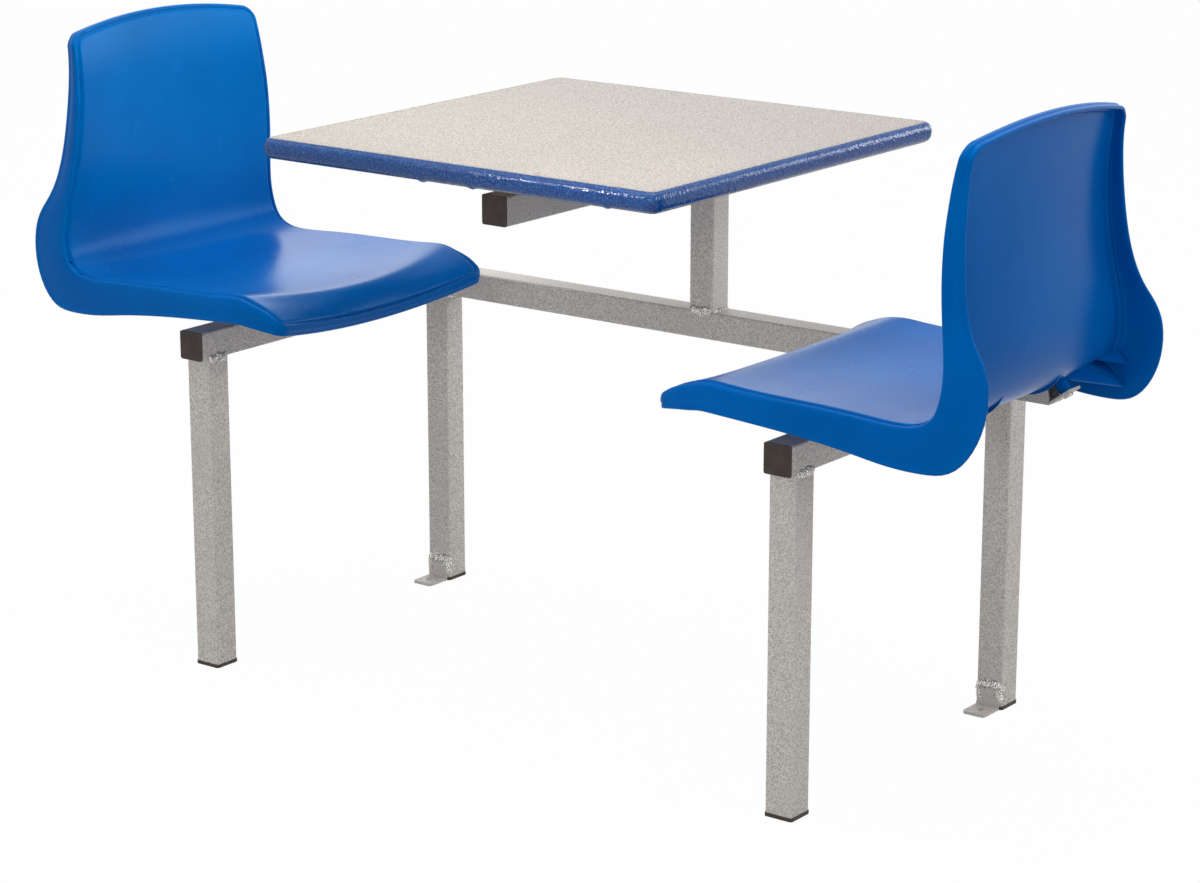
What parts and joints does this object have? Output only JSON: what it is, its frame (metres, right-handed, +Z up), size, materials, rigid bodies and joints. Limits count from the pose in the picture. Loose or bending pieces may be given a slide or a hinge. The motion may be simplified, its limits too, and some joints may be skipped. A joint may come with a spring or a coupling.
{
  "type": "table with attached swivel seats",
  "caption": "Square laminate table and two facing moulded swivel seats, all carried by one welded square-tube frame on four legs.",
  "frame": {"origin": "on the floor, under the middle of the table top", "axes": "+X towards the right seat, +Y towards the rear, where the post and the cross beam are, +Z up"},
  "size_m": [1.4742, 0.614, 0.848],
  "materials": {
    "powder_coat": "silver grey powder coat with a fine texture",
    "black_plastic": "moulded dark plastic",
    "seat_plastic": "satin blue moulded plastic with a fine grain",
    "laminate": "pale warm grey laminate with fine speckles",
    "backing": "plain backing laminate",
    "board": "fibre board",
    "edging": "dark blue moulded edging with an orange-peel skin",
    "zinc_steel": "zinc plated steel",
    "bearing_plastic": "natural bearing plastic"
  },
  "bodies": {
    "frame": {"cross_beam": "powder_coat", "front_left_foot": "black_plastic", "front_left_leg": "powder_coat", "front_right_foot": "black_plastic", "front_right_leg": "powder_coat", "front_table_crossbar": "powder_coat", "left_floor_tab": "powder_coat", "left_pivot_bushes": "bearing_plastic", "left_pivot_sleeve": "powder_coat", "left_rail_front_cap": "black_plastic", "left_rail_rear_cap": "black_plastic", "left_seat_rail": "powder_coat", "left_swivel_base": "powder_coat", "rear_left_foot": "black_plastic", "rear_left_leg": "powder_coat", "rear_right_foot": "black_plastic", "rear_right_leg": "powder_coat", "rear_table_crossbar": "powder_coat", "right_floor_tab": "powder_coat", "right_pivot_bushes": "bearing_plastic", "right_pivot_sleeve": "powder_coat", "right_rail_front_cap": "black_plastic", "right_rail_rear_cap": "black_plastic", "right_seat_rail": "powder_coat", "right_swivel_base": "powder_coat", "support_tube_front_cap": "black_plastic", "support_tube_rear_cap": "black_plastic", "table_post": "powder_coat", "table_support_tube": "powder_coat", "tabletop_backing": "backing", "tabletop_core": "board", "tabletop_edging": "edging", "tabletop_laminate": "laminate", "tabletop_screws": "zinc_steel"},
    "left_seat": {"left_lock_nut": "zinc_steel", "left_lock_washer": "zinc_steel", "left_pivot_spindle": "zinc_steel", "left_seat_front_arm": "zinc_steel", "left_seat_rear_arm": "zinc_steel", "left_seat_shell": "seat_plastic", "left_shell_screws": "zinc_steel", "left_stop_pin": "zinc_steel", "left_swivel_plate": "powder_coat", "left_thrust_washer": "zinc_steel"},
    "right_seat": {"right_lock_nut": "zinc_steel", "right_lock_washer": "zinc_steel", "right_pivot_spindle": "zinc_steel", "right_seat_front_arm": "zinc_steel", "right_seat_rear_arm": "zinc_steel", "right_seat_shell": "seat_plastic", "right_shell_screws": "zinc_steel", "right_stop_pin": "zinc_steel", "right_swivel_plate": "powder_coat", "right_thrust_washer": "zinc_steel"}
  },
  "joints": [
    {"name": "left_seat_swivel", "type": "hinge", "parent": "frame", "child": "left_seat", "pos_m": [-0.462, -0.082, 0.463], "axis": [0, 0, 1], "range_deg": [-70, 70]},
    {"name": "right_seat_swivel", "type": "hinge", "parent": "frame", "child": "right_seat", "pos_m": [0.462, -0.082, 0.463], "axis": [0, 0, 1], "range_deg": [-70, 70]}
  ]
}
